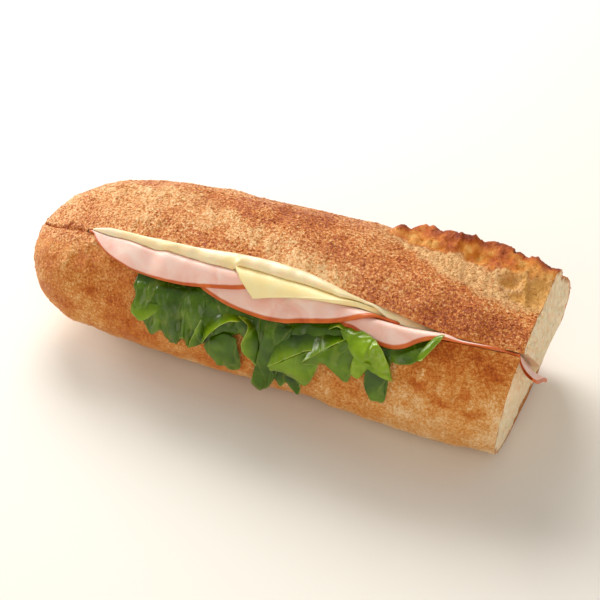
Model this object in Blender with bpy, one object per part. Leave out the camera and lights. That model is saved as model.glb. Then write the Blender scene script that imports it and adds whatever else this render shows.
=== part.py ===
"""Half a crusty baguette, slit along its front shoulder and filled.

The filling is lettuce, ham, cheese and a butter spread.

The loaf lies along X with its rounded end at -X and its cut end at +X. The slit opens towards -Y and up.
The fillings are sheets, laid out flat in (x, depth) first: depth runs from the lower lip of the slit (0)
towards the hinge of crust at the back, and a negative depth hangs out over the front of the loaf.
"""

import math

import bmesh
import bpy
from mathutils import Vector

MM = 0.001
GAP = 0.3 * MM

# The loaf.
TIP_X = -105.5 * MM
CUT_X = 102.4 * MM  # where the cut end meets the plate
CUT_LEAN = 0.07  # how far the cut end leans outwards for each metre up
CUT_TURN = 0.08  # and for each metre back from CUT_PIVOT
CUT_PIVOT = -25 * MM
LID_SLIP = 2.4 * MM  # how far the lid stands out past the lower half at the cut end
HALF_WIDTH = 37.7 * MM
HEIGHT = 61 * MM
BELLY = 0.44  # the widest level, as a share of the height
AXIS_Y = -1.7 * MM
FLAT_SINK = 0.4 * MM  # how much of the round bottom has flattened on the baking tray
LOAF_STATIONS = 38
LOAF_SEGMENTS = 46

# The slit, from the front shoulder down towards the back of the bottom crust.
SLIT_START_X = -73 * MM
SLIT_TILT = math.radians(48)  # below the horizontal, going in
SLIT_DEPTH = 58 * MM
CLEAR = 8 * MM  # how far the cutter stands out of the loaf
INWARD = Vector((math.cos(SLIT_TILT), -math.sin(SLIT_TILT)))
ACROSS = Vector((math.sin(SLIT_TILT), math.cos(SLIT_TILT)))

# The sheets of the filling.
LETTUCE_THICK = 0.8 * MM
HAM_THICK = 1.2 * MM
CHEESE_THICK = 1.9 * MM
LIP_BEND = 2.5 * MM  # the length of a sheet, each way, that bends over the lip
LAYER = HAM_THICK + GAP
ROWS = [row * MM for row in (-44, -36, -28, -20, -14, -9.5, -5.5, -2.5, -0.8, 0.8, 2.5, 20, 54)]
ON_CRUMB = GAP
ON_LETTUCE = 2 * GAP + LETTUCE_THICK
HAM_REACH = 52 * MM  # how deep the ham slices go into the slit
LETTUCE_REACH = 22 * MM
CHEESE_ENDS = (-12 * MM, 56 * MM)
LEAF_END = (77 * MM, 85 * MM)  # where the right slice comes down from the last leaf onto the crumb
DROOP = 5.5 * MM  # how far the right slice hangs down past the cut end
DROOP_START = 107 * MM
SPREAD_ENDS = (-69 * MM, 104 * MM)
HOLLOW = 0.8 * MM  # how far the crumb of the lid gives way to the spread
NARROWING = 0.07  # how much the slit has narrowed at its floor, as a share of its mouth

COLOURS = {
    "bread": ((0.58, 0.29, 0.10), 0.75),
    "lettuce": ((0.09, 0.30, 0.02), 0.4),
    "ham": ((0.80, 0.48, 0.43), 0.4),
    "cheese": ((0.90, 0.78, 0.42), 0.45),
    "spread": ((0.88, 0.80, 0.52), 0.35),
}


def ramp(value, low, high):
    """0 below low, 1 above high, and smooth in between."""
    t = min(1.0, max(0.0, (value - low) / (high - low)))
    return t * t * (3 - 2 * t)


def bump(value, centre, spread):
    """A bell of height 1 around centre."""
    return math.exp(-(((value - centre) / spread) ** 2))


def through(points, x):
    """A smooth curve through (x in millimetres, value) points, level before the first and past the last."""
    x /= MM
    if x <= points[0][0]:
        return points[0][1]
    if x >= points[-1][0]:
        return points[-1][1]
    after = next(i for i, point in enumerate(points) if x < point[0])
    (x0, y0), (x1, y1) = points[after - 1], points[after]
    before_x, before_y = points[max(0, after - 2)]
    beyond_x, beyond_y = points[min(len(points) - 1, after + 1)]
    start_slope = (y1 - before_y) / (x1 - before_x) * (x1 - x0)
    end_slope = (beyond_y - y0) / (beyond_x - x0) * (x1 - x0)
    t = (x - x0) / (x1 - x0)
    bend = (t - 1) ** 2 * t * start_slope + t * t * (t - 1) * end_slope
    return y0 + (y1 - y0) * t * t * (3 - 2 * t) + bend


def signed_power(value, power):
    return math.copysign(abs(value) ** power, value)


def new_object(name, mesh):
    bmesh.ops.recalc_face_normals(mesh, faces=mesh.faces)
    data = bpy.data.meshes.new(name)
    mesh.to_mesh(data)
    mesh.free()
    return bpy.data.objects.new(name, data)


def loft(name, rings):
    """A closed mesh through rings of points, with a flat face on the first and the last."""
    mesh = bmesh.new()
    rows = [[mesh.verts.new(point) for point in ring] for ring in rings]
    count = len(rows[0])
    for low, high in zip(rows, rows[1:]):
        for i in range(count):
            j = (i + 1) % count
            mesh.faces.new((low[i], low[j], high[j], high[i]))
    mesh.faces.new(rows[0])
    mesh.faces.new(rows[-1])
    return new_object(name, mesh)


# ---------------------------------------------------------------- the loaf


def swell(x):
    """The loaf is a little fuller towards the cut end, as a share of its size."""
    shares = [(-60, 0.983), (-20, 1.0), (20, 1.0), (50, 1.047), (80, 1.062), (96, 1.02), (110, 1.005)]
    return through(shares, x)


def crown(x):
    """How high the loaf rises above its widest level, as a share of what is usual."""
    shares = [(-75, 0.91), (-62, 0.92), (-40, 0.965), (-22, 1.0), (-6, 1.04), (18, 1.04)]
    shares += [(42, 0.99), (108, 0.975)]
    return through(shares, x)


def closing(x, length):
    """How the loaf closes towards its rounded tip: 0 at the tip, 1 past length."""
    t = min(1.0, max(0.0, (x - TIP_X) / length))
    return (1 - (1 - t) ** 1.62) ** 0.53


def crust_relief(x, angle):
    """How far the crust stands out: two slashes that opened in the oven, and the ear along the second."""
    first = math.radians(through([(-60, 97), (-45, 97), (-28, 91), (0, 78), (12, 70)], x))
    second = math.radians(through([(45, 107), (60, 97), (74, 95), (89, 86), (108, 84)], x))
    along_first = ramp(x, -84 * MM, -62 * MM) * (1 - ramp(x, 2 * MM, 22 * MM))
    along_second = ramp(x, 34 * MM, 52 * MM)
    groove = 1.3 * MM * bump(angle, first, math.radians(10)) * along_first
    groove += 2.0 * MM * bump(angle, second, math.radians(12)) * along_second
    ear = 2.2 * MM * bump(angle, second + math.radians(27), math.radians(10)) * ramp(x, 36 * MM, 58 * MM)
    return ear - groove


def loaf_point(x, angle):
    """(y, z) on the outside of the loaf. angle is 0 at the front and a quarter turn at the top."""
    width = HALF_WIDTH * swell(x) * closing(x, 28 * MM)
    height = HEIGHT * swell(x) * closing(x, 57 * MM)
    towards_tip = (1 - min(1.0, max(0.0, (x - TIP_X) / (45 * MM)))) ** 2
    c, s = math.cos(angle), math.sin(angle)
    y = -width * signed_power(c, 2 / 2.2)
    z = height * ((1 - BELLY) * crown(x) * s ** (2 / 2.2) if s > 0 else -BELLY * (-s) ** (2 / 3.0))
    grow = 1 + crust_relief(x, angle) / (HEIGHT / 2)
    y += AXIS_Y - 6.2 * MM * towards_tip
    z += HEIGHT * BELLY + 6 * MM * towards_tip - FLAT_SINK
    middle = HEIGHT * BELLY
    return Vector((y * grow, max(0.0, middle + (z - middle) * grow)))


def loaf():
    """The uncut loaf, which runs on past the cut end. Rings crowd at the tip and segments along the top."""
    turn = [2 * math.pi * i / LOAF_SEGMENTS for i in range(LOAF_SEGMENTS)]
    turn = [t + 0.3 * math.cos(t) for t in turn]
    rings = []
    start, end = TIP_X + 0.15 * MM, CUT_X + 2 * CLEAR
    for i in range(LOAF_STATIONS + 1):
        share = i / LOAF_STATIONS
        x = start + (end - start) * (0.25 * share + 0.75 * share ** 2)
        rings.append([Vector((x, *loaf_point(x, angle))) for angle in turn])
    return loft("bread", rings)


# ---------------------------------------------------------------- the slit and the cut end


def lip_angle(x):
    angles = [(-73, 58), (-60, 52.5), (-50, 49), (-22, 46.8), (20, 45.7), (61, 44), (80, 47), (98, 49.5)]
    return math.radians(through(angles, x))


def lower_lip(x):
    return loaf_point(x, lip_angle(x))


def slit_gap(x):
    """How wide the slit stands open at its mouth."""
    shape = [(-73, 1.2), (-60, 5.2), (-50, 7.3), (-30, 8.5), (-8, 10.2), (5, 10.9), (22, 10.4), (41, 8.3)]
    shape += [(54, 7.1), (61, 6.2), (70, 4.7), (80, 3.1), (91, 2.9)]
    return through(shape, x) * MM


def slit_floor(x):
    """How deep the slit goes. It is cut less deep near the loaf's round end."""
    return SLIT_DEPTH * (0.45 + 0.55 * ramp(x, SLIT_START_X, -40 * MM))


def clearance(x, into):
    """How far apart the two halves are, this far into the slit."""
    gap = slit_gap(x)
    widest = 6 * MM
    if into < widest:
        return gap + HOLLOW * into / widest
    return gap + HOLLOW - (NARROWING * gap + HOLLOW) * (into - widest) / (slit_floor(x) - widest)


def slit_section(x):
    """The outline of the space between the two halves, which narrows towards the hinge."""
    lip = lower_lip(x)
    gap = slit_gap(x)
    deep = slit_floor(x)
    profile = [(-CLEAR, -1.2 * MM), (0, 0), (deep, 0), (deep + 0.3 * gap, 0.4 * gap)]
    profile += [(into, clearance(x, into)) for into in (deep, 6 * MM, 0)] + [(-CLEAR, gap + 3 * MM)]
    return [Vector((x, *(lip + INWARD * depth + ACROSS * lift))) for depth, lift in profile]


def slit_cutter():
    start, end, count = SLIT_START_X, CUT_X + 3 * CLEAR, 26
    return loft("slit_cutter", [slit_section(start + (end - start) * i / count) for i in range(count + 1)])


def end_cutter():
    """Takes away what lies past the cut end. The lid slipped along the loaf, so the cut has a step."""
    lip = lower_lip(CUT_X)
    far = 90 * MM
    rings = []
    for depth in (-far, far):
        ring = []
        for lift, slip in ((-far, 0), (0.8 * MM, 0), (2.4 * MM, LID_SLIP), (far, LID_SLIP)):
            y, z = lip + INWARD * depth + ACROSS * lift
            ring.append(Vector((CUT_X + CUT_LEAN * z + CUT_TURN * (y - CUT_PIVOT) + slip, y, z)))
        for lift in (far, -far):
            ring.append(Vector((CUT_X + far, *(lip + INWARD * depth + ACROSS * lift))))
        rings.append(ring)
    return loft("end_cutter", rings)


# ---------------------------------------------------------------- the sheets of the filling


def down_front(x, distance):
    """A point this far below the lower lip: on the crust, then straight down from the widest level."""
    on_crust = math.pi / 4 * HALF_WIDTH
    if distance > on_crust:
        return loaf_point(x, 0) - Vector((0, distance - on_crust))
    return loaf_point(x, lip_angle(x) * (1 - distance / on_crust))


def carrier(x, depth, lift):
    """The point lifted this far off the lower half: in the slit, round its lip or down its front."""
    lip = lower_lip(x)
    distance = max(0, -depth - LIP_BEND)
    slope = (down_front(x, distance + MM) - down_front(x, distance)).normalized()
    front_normal = Vector((slope.y, -slope.x))
    if depth >= LIP_BEND:
        base, normal = lip + INWARD * (depth - LIP_BEND), ACROSS
    elif depth > -LIP_BEND:
        turn = (LIP_BEND - depth) / (2 * LIP_BEND)
        base, normal = lip, ACROSS.slerp(front_normal, turn)
    else:
        base, normal = down_front(x, distance), front_normal
    return Vector((x, *(base + normal * lift)))


def trimmed(rows, start, end):
    """The rows that all sheets share, gathered up against this sheet's front and back edge."""
    closest = 0.15 * MM
    last = len(rows) - 1
    return [min(max(row, start + j * closest), end - (last - j) * closest) for j, row in enumerate(rows)]


def sheet(name, stations, front, back, under, over):
    """A sheet over these x stations, from front(x) to back(x), between the lifts under(x, depth) and over."""
    mesh = bmesh.new()
    foremost = min(front(x) for x in stations)
    hindmost = max(back(x) for x in stations)
    rows = [foremost, *(row for row in ROWS if foremost < row < hindmost), hindmost]
    grid = [(x, depth) for x in stations for depth in trimmed(rows, front(x), back(x))]
    sides = []
    for lift in (under, over):
        sides.append([mesh.verts.new(carrier(x, depth, lift(x, depth))) for x, depth in grid])
    across = len(rows)
    last = len(stations) - 1
    for side in sides:
        for i in range(last):
            for j in range(across - 1):
                a = i * across + j
                mesh.faces.new((side[a], side[a + 1], side[a + 1 + across], side[a + across]))
    rim = [i * across for i in range(last)] + [last * across + j for j in range(across - 1)]
    rim += [i * across + across - 1 for i in range(last, 0, -1)] + list(range(across - 1, 0, -1))
    low, high = sides
    for a, b in zip(rim, rim[1:] + rim[:1]):
        mesh.faces.new((low[a], low[b], high[b], high[a]))
    bmesh.ops.triangulate(mesh, faces=mesh.faces)
    return new_object(name, mesh)


def spaced(start, end, count):
    return [start + (end - start) * i / count for i in range(count + 1)]


def shared_stations(left, right, extra=()):
    """Stations that every sheet has in common, so that they nest, and closer ones at a sheet's round ends."""
    step = 6 * MM
    ends = [left, left + 1 * MM, left + 3 * MM, *extra, right - 3 * MM, right - 1 * MM, right]
    common = [i * step for i in range(-12, 19)]
    inner = [x for x in common if left < x < right and min(abs(x - e) for e in ends) > 0.6 * MM]
    return sorted(ends + inner)


def ham(name, left, right, left_side, right_side, hang, under, extra=()):
    """A round slice of ham. hang is how its front edge runs, and left_side is the depth of its left end."""
    blunt = 0.6 * MM

    def side(x):
        return left_side + (right_side - left_side) * (x - left) / (right - left)

    def front(x):
        ends = (left / MM, (left_side - blunt) / MM), (right / MM, (right_side - blunt) / MM)
        return through([ends[0], *hang, ends[1]], x) * MM

    def back(x):
        off_middle = min(1, abs(2 * (x - left) / (right - left) - 1))
        return side(x) + blunt + (HAM_REACH - side(x)) * math.sqrt(1 - off_middle ** 2)

    stations = shared_stations(left, right, extra)
    return sheet(name, stations, front, back, under, lambda x, depth: under(x, depth) + HAM_THICK)


def ham_slices():
    """Three slices, each lying half on the next. Each steps up where the next begins."""
    def left_under(x, depth):
        on_leaf = (ON_LETTUCE - ON_CRUMB) * ramp(x, -66 * MM, -50 * MM)
        return ON_CRUMB + on_leaf + LAYER * ramp(x, -43 * MM, -35 * MM)

    def middle_under(x, depth):
        return ON_LETTUCE + LAYER * ramp(x, 14 * MM, 20 * MM)

    def right_under(x, depth):
        rests = ON_LETTUCE - (ON_LETTUCE - ON_CRUMB) * ramp(x, *LEAF_END)
        return rests - DROOP * ramp(x, DROOP_START, 116 * MM)

    left_hang = [(-66, -3.5), (-59, -7.2), (-46, -10.5), (-31, -11.2), (-16, -9.4), (-1, -5.6), (5, -1)]
    left_hang += [(10, 7)]
    left_extra = [x * MM for x in (2.3, 4.2, 8)]
    middle_hang = [(-29, 5), (-24, 0), (-18, -8), (-5, -13.2), (7, -14.4), (16, -13.5), (24, -11), (36, -7)]
    middle_hang += [(44, -3.3), (50, 0), (54, 2.6), (60, 5)]
    middle_extra = [x * MM for x in (-26.5, -21.5, 51.5, 57)]
    right_hang = [(28, 5), (31.5, 1), (34.5, -2.5), (38.5, -6.3), (44, -6.8), (52, -9), (60, -9.5), (65, -8)]
    right_hang += [(70, -4), (76, -0.5), (98, 1), (106, 3), (112, 9)]
    right_extra = [x * MM for x in (31.5, 33, 34.5)] + [DROOP_START]
    left, middle = (-70.5 * MM, 13 * MM, 3 * MM, 22 * MM), (-32 * MM, 65 * MM, 18 * MM, 16 * MM)
    right = 22 * MM, 115.5 * MM, 16 * MM, 20 * MM
    return [
        ham("ham_left", *left, left_hang, left_under, left_extra),
        ham("ham_middle", *middle, middle_hang, middle_under, middle_extra),
        ham("ham_right", *right, right_hang, right_under, right_extra),
    ]


# ---------------------------------------------------------------- lettuce, cheese and spread


def lettuce(name, left, right, columns, reach, teeth, bite, pitch, wave_from):
    """A torn leaf. It lies flat under the ham, then waves away from the crust and ends in teeth."""
    def front(x):
        tooth = abs(math.cos(math.pi * teeth * (x - left) / (right - left))) ** 0.7
        return (bite * (1 - tooth) - through(reach, x)) * MM

    def under(x, depth):
        out = ramp(-depth, wave_from, wave_from + 14 * MM)
        return ON_CRUMB + out * (0.6 * MM + 1.5 * MM * (1 + math.sin(2 * math.pi * x / pitch)))

    def over(x, depth):
        return under(x, depth) + LETTUCE_THICK

    return sheet(name, spaced(left, right, columns), front, lambda x: LETTUCE_REACH, under, over)


def lettuce_leaves():
    left_reach = [(-48, 22), (-45, 29), (-38, 37), (-30, 39), (-22, 38), (-12, 40), (-6, 42), (-1, 40)]
    right_reach = [(0, 38), (8, 48), (16, 43), (25, 43), (32, 35), (45, 33), (56, 34), (60, 32), (63, 27)]
    small_reach = [(64, 14), (72, 9), (76, 5)]
    return [
        lettuce("lettuce_left", -47.5 * MM, -0.5 * MM, 18, left_reach, 5, 5, 19 * MM, 13 * MM),
        lettuce("lettuce_right", 0.5 * MM, 63 * MM, 22, right_reach, 6, 8, 21 * MM, 16 * MM),
        lettuce("lettuce_small", 64 * MM, 75 * MM, 4, small_reach, 1, 1, 40 * MM, 11 * MM),
    ]


def cheese():
    """A square slice laid askew on the ham, so that one corner pokes out."""
    left, right = CHEESE_ENDS
    corner = 4.5 * MM
    stations = shared_stations(left, right, (-4.3 * MM, -2.6 * MM, -0.9 * MM, 1.2 * MM, corner))
    under = ON_LETTUCE + 2 * LAYER
    poke = [(-12, 8), (1.2, -4.3), (4.5, -6.9), (10.9, -5), (22.4, -2.2), (35, -0.8), (45, 0.8), (56, 3)]
    return sheet(
        "cheese", stations, lambda x: through(poke, x) * MM,
        lambda x: through([(-12, 10), (-4, 42), (50, 46), (56, 44)], x) * MM,
        lambda x, depth: under, lambda x, depth: under + CHEESE_THICK)


def spread():
    """Butter on the lid's side of the slit. It fills what the layers below it leave, up to the lid."""
    def under(x, depth):
        on_leaf = (ON_LETTUCE - ON_CRUMB) * (ramp(x, -66 * MM, -50 * MM) - ramp(x, *LEAF_END))
        on_ham = ON_CRUMB + LAYER + on_leaf
        second_ham = LAYER * (ramp(x, -43 * MM, -35 * MM) - ramp(x, 65 * MM, 72 * MM))
        on_cheese = (CHEESE_THICK + GAP) * (ramp(x, -24 * MM, -13 * MM) - ramp(x, 57 * MM, 64 * MM))
        return on_ham + second_ham + on_cheese

    def over(x, depth):
        return clearance(x, max(0, depth - LIP_BEND)) - GAP

    edge = [(-69, 3), (40, 3), (52, 9), (64, 6), (72, 3.5)]
    return sheet(
        "spread", shared_stations(*SPREAD_ENDS), lambda x: through(edge, x) * MM,
        lambda x: through([(-69, 12), (-50, 30), (-30, 38)], x) * MM, under, over)


# ---------------------------------------------------------------- the object


def material(node):
    """One material a node, named for it."""
    kind = node.split("_")[0]
    (red, green, blue), roughness = COLOURS[kind]
    made = bpy.data.materials.new(node)
    made.use_nodes = True
    shader = made.node_tree.nodes["Principled BSDF"]
    shader.inputs["Base Color"].default_value = (red, green, blue, 1)
    shader.inputs["Roughness"].default_value = roughness
    return made


def cut(piece, cutter, cutters):
    cutter.hide_render = True
    cutter.display_type = "WIRE"
    cutters.objects.link(cutter)
    modifier = piece.modifiers.new(cutter.name, "BOOLEAN")
    modifier.object = cutter
    modifier.operation = "DIFFERENCE"
    modifier.solver = "EXACT"


def centre(pieces, cutters):
    """Moves everything so that the origin is at the middle of the box round the pieces, on the plate."""
    bpy.context.view_layer.update()
    graph = bpy.context.evaluated_depsgraph_get()
    places = [v.co for piece in pieces for v in piece.evaluated_get(graph).data.vertices]
    middle_x = (min(p.x for p in places) + max(p.x for p in places)) / 2
    middle_y = (min(p.y for p in places) + max(p.y for p in places)) / 2
    for piece in [*pieces, *cutters.objects]:
        for vertex in piece.data.vertices:
            vertex.co -= Vector((middle_x, middle_y, 0))


def main():
    for old in list(bpy.data.objects):
        bpy.data.objects.remove(old)
    parts = bpy.data.collections.new("baguette_sandwich")
    cutters = bpy.data.collections.new("cutters")
    bpy.context.scene.collection.children.link(parts)
    bpy.context.scene.collection.children.link(cutters)
    bread = loaf()
    cut(bread, slit_cutter(), cutters)
    cut(bread, end_cutter(), cutters)
    pieces = [bread, *lettuce_leaves(), *ham_slices(), cheese(), spread()]
    for piece in pieces:
        parts.objects.link(piece)
        piece.data.materials.append(material(piece.name))
    centre(pieces, cutters)


main()
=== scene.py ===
import math

import bmesh
import bpy
import numpy as np
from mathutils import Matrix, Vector, noise


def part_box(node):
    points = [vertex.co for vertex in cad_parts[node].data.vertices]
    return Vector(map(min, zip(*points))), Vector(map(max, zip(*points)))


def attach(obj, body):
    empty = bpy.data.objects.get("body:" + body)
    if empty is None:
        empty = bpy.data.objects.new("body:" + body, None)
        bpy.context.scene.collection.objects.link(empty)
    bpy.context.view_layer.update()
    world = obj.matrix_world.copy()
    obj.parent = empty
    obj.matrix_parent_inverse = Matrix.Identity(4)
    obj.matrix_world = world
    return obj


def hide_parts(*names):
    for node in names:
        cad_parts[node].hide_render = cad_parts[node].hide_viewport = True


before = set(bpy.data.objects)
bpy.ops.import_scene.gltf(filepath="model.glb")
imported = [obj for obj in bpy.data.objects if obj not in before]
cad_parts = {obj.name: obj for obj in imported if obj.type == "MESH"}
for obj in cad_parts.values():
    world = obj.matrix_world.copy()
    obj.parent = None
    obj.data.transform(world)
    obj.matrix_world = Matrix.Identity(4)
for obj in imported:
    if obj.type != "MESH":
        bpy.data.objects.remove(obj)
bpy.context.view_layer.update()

# ---------------------------------------------------------------- the loaf
# Half a crusty baguette: a thin crust over soft white crumb, rounded at its tip, sawn off at the other end
# and slit along its front shoulder. It is one skin of rings along X, each from the slit's lower lip down the
# front, round the back to the upper lip and in through the slit.

# Sizes are in millimetres. Angles are in degrees: 0 at the front, 90 on top and 180 at the back.
MM = 0.001
TIP_X = -105.5
TIP_TRIM = 0.15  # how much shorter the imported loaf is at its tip
CUT_X = 102.4
CUT_LEAN = 0.07  # how far the cut end leans out per millimetre of height
CUT_TURN = 0.02  # and per millimetre towards the back, from CUT_PIVOT
CUT_PIVOT = -25
LID_SLIP = 1.5  # the step between the lid and the lower half, at LID_STEP_Z
LID_TILT = 0.18
LID_STEP_Z = 49
HALF_WIDTH = 37.7
HEIGHT = 61
BELLY = 0.44  # where the loaf is widest, as a share of its height
AXIS_Y = -1.7
FLAT_SINK = 0.4  # how far the flattened bottom sinks into the floor before it is cut off
SLIT_START_X = -77
SLIT_DEPTH = 58
HOLLOW = 0.8  # how much the lid's face is hollowed behind its lip
NARROWING = 0.07
LID_FLARE = 0.375  # how the lid's face opens in front of its lip
LIP_BEND = 2.5
CUT_ZONE = 40  # how much of the loaf's length shares the shift of the cut end
TIP_CLOSING = 28  # the length over which the loaf's width closes towards its tip
slit_tilt = math.radians(48)
INWARD = np.array([math.cos(slit_tilt), -math.sin(slit_tilt)])
ACROSS = np.array([math.sin(slit_tilt), math.cos(slit_tilt)])


def ramp(value, low, high):
    """0 below low, 1 above high, and smooth in between."""
    t = np.clip((value - low) / (high - low), 0, 1)
    return t * t * (3 - 2 * t)


def bump(value, centre, spread):
    """A bell of height 1 around centre."""
    return np.exp(-(((value - centre) / spread) ** 2))


def through(points, x):
    """A smooth curve through (x, value) points, level before the first and past the last."""
    at, value = np.array(points, float).T
    slope = np.gradient(value, at)
    slope[1:-1] = (value[2:] - value[:-2]) / (at[2:] - at[:-2])
    k = np.clip(np.searchsorted(at, x, side="right") - 1, 0, len(at) - 2)
    step = at[k + 1] - at[k]
    t = np.clip((x - at[k]) / step, 0, 1)
    bend = (t - 1) ** 2 * t * slope[k] * step + t * t * (t - 1) * slope[k + 1] * step
    return value[k] + (value[k + 1] - value[k]) * t * t * (3 - 2 * t) + bend


def closing(x, length):
    """How the loaf closes towards its rounded tip: 0 at the tip, 1 past length."""
    t = np.clip((x - TIP_X) / length, 0, 1)
    return (1 - (1 - t) ** 1.62) ** 0.53


def slashes(x, angle):
    """How far the crust stands out: two slashes that opened in the oven, and the ear along the second."""
    first = through([(-60, 97), (-45, 97), (-28, 91), (0, 78), (12, 70)], x)
    second = through([(45, 107), (60, 97), (74, 95), (89, 86), (108, 84)], x)
    along_first = ramp(x, -84, -62) * (1 - ramp(x, 2, 22))
    groove = 1.3 * bump(angle, first, 10) * along_first + 2.0 * bump(angle, second, 12) * ramp(x, 34, 52)
    return 2.2 * bump(angle, second + 27, 10) * ramp(x, 36, 58) - groove


def outline(x, angle):
    """(y, z) on the plain outside of the loaf, as the last axis of an array."""
    swells = [(-60, 0.983), (-20, 1), (20, 1), (50, 1.047), (80, 1.062), (96, 1.02), (110, 1.005)]
    swell = through(swells, x)
    tops = [(-75, 0.91), (-62, 0.92), (-40, 0.965), (-22, 1), (-6, 1.04), (18, 1.04), (42, 0.99)]
    crown = through(tops + [(108, 0.975)], x)
    towards_tip = (1 - np.clip((x - TIP_X) / 45, 0, 1)) ** 2
    c, s = np.cos(np.radians(angle)), np.sin(np.radians(angle))
    up = (1 - BELLY) * crown * np.abs(s) ** (2 / 2.2)
    down = -BELLY * np.abs(s) ** (2 / 3)
    middle = HEIGHT * BELLY
    y = -HALF_WIDTH * swell * closing(x, TIP_CLOSING) * np.sign(c) * np.abs(c) ** (2 / 2.2)
    z = HEIGHT * swell * closing(x, 57) * np.where(s > 0, up, down)
    grow = 1 + 2 * slashes(x, (angle + 180) % 360 - 180) / HEIGHT
    y = (y + AXIS_Y - 6.2 * towards_tip) * grow
    z = np.maximum(0, middle + (z + 6 * towards_tip - FLAT_SINK) * grow)
    return np.stack([y, z], -1)


def lip_angle(x):
    """The angle at which the lower lip of the slit lies."""
    near_tip = [(-77, 62), (-66, 56.8), (-58, 54), (-50, 51.2), (-40, 49.2)]
    return through(near_tip + [(-22, 46.8), (20, 45.7), (61, 44), (80, 47), (98, 49.5)], x)


def slit_gap(x):
    """How wide the slit stands open at its mouth."""
    opening = [(-77, 1.0), (-66, 4.6), (-58, 5.4), (-50, 6.2), (-40, 7.4), (-30, 8.4), (-8, 10.2), (5, 10.9)]
    closing_up = [(22, 10.4), (41, 8.3), (54, 7.1), (61, 6.2), (70, 4.2), (80, 2.1), (91, 1.6), (104, 1.4)]
    return through(opening + closing_up, x)


def slit_floor(x):
    """How deep the slit is. It gets shallower towards the tip."""
    return SLIT_DEPTH * (0.45 + 0.55 * ramp(x, SLIT_START_X, -40))


def end_shift(yz, lid):
    """How far the sawn end moves along X, from its lean, its turn and the step where the lid slipped."""
    slipped = LID_SLIP - LID_TILT * (yz[..., 1] - LID_STEP_Z)
    return CUT_LEAN * yz[..., 1] + CUT_TURN * (yz[..., 0] - CUT_PIVOT) + slipped * lid


def clearance(x, into):
    """How far apart the two halves are, this far into the slit."""
    gap = slit_gap(x)
    deeper = (NARROWING * gap + HOLLOW) * (into - 6) / (slit_floor(x) - 6)
    return gap + HOLLOW * np.clip(into / 6, 0, 1) - np.maximum(0, deeper)


def rough(places, size, octaves=3, seed=0):
    """Smooth random heights, about -1 to 1, over places whose lumps are size millimetres across."""
    shift = Vector((seed * 17.3, seed * 5.1, seed * 9.7))
    flat = np.asarray(places, float).reshape(-1, 3) / size
    heights = [noise.fractal(Vector(p) + shift, 1.0, 2.0, octaves) for p in flat]
    return np.array(heights).reshape(np.shape(places)[:-1])


def object_from(name, places, faces, attributes=None, face_materials=None, turned=False):
    """A mesh object with its faces turned outwards, if they aren't yet. places are in millimetres."""
    data = bpy.data.meshes.new(name)
    data.from_pydata(((places + origin_shift) * MM).tolist(), [], faces)
    for label, values in (attributes or {}).items():
        stored = data.attributes.new(label, "FLOAT", "POINT").data
        stored.foreach_set("value", np.asarray(values, np.float32))
    if face_materials is not None:
        data.polygons.foreach_set("material_index", face_materials)
    shape = bmesh.new()
    shape.from_mesh(data)
    loose = [vertex for vertex in shape.verts if not vertex.link_faces]
    bmesh.ops.delete(shape, geom=loose, context="VERTS")
    if not turned:
        bmesh.ops.recalc_face_normals(shape, faces=shape.faces)
        if shape.calc_volume(signed=True) < 0:
            bmesh.ops.reverse_faces(shape, faces=shape.faces)
    shape.to_mesh(data)
    shape.free()
    data.shade_smooth()
    piece = bpy.data.objects.new(name, data)
    bpy.context.scene.collection.objects.link(piece)
    return piece


def place_in_frame():
    """The shift, in millimetres, from the loaf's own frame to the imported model's."""
    low, high = (np.array(corner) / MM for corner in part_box("bread"))
    back = outline(np.linspace(TIP_X, CUT_X, 500), np.full(500, 180.0))[:, 0].max()
    return np.array([low[0] - TIP_X - TIP_TRIM, high[1] - back, 0])


origin_shift = place_in_frame()

STATIONS = 330
ROUND = 225
IN_SLIT = 12


def stations_along():
    """Even steps along the loaf, which crowd where it closes at the tip."""
    fine = np.linspace(TIP_X + 0.002, CUT_X, 8000)
    run = np.cumsum(np.hypot(np.gradient(fine), np.gradient(HALF_WIDTH * closing(fine, TIP_CLOSING))))
    return np.interp(np.linspace(run[0], run[-1], STATIONS), run, fine)


def upper_lip_angle(x, low):
    """Where the crust meets the slit again above the lower lip."""
    steps = np.linspace(0.3, 60, 400)
    lip = outline(x, low)
    off = outline(x[:, None], low[:, None] + steps) - lip[:, None]
    room = off @ ACROSS - slit_gap(x)[:, None] - LID_FLARE * np.maximum(0, -(off @ INWARD))
    first = np.maximum(1, (room > 0).argmax(1))
    rows = np.arange(len(x))
    before, after = room[rows, first - 1], room[rows, first]
    share = np.clip(-before / (after - before), 0, 1)
    return low + steps[first - 1] + share * (steps[first] - steps[first - 1])


def angles_round(x, low, high):
    """Angles at even steps of crust from lip to lip, wider at the back and the bottom."""
    dense = low[:, None] + (high - 360 - low)[:, None] * np.linspace(0, 1, 900)
    places = outline(x[:, None], dense)
    steps = np.hypot(*np.moveaxis(np.diff(places, axis=1, prepend=places[:, :1]), -1, 0))
    run = np.cumsum(steps * (1 - 0.62 * (ramp(-dense, 60, 85) - ramp(-dense, 205, 235))), axis=1)
    return np.array([np.interp(np.linspace(0, r[-1], ROUND), r, d) for r, d in zip(run, dense)])


def grid_normals(grid):
    """Outward unit normals of a grid of places."""
    normals = np.cross(np.gradient(grid, axis=0), np.gradient(grid, axis=1))
    normals /= np.maximum(1e-9, np.linalg.norm(normals, axis=-1, keepdims=True))
    outwards = grid - np.array([0, AXIS_Y, HEIGHT * BELLY])
    sign = np.sign((normals * outwards).sum(-1).mean())
    return normals * sign


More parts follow.
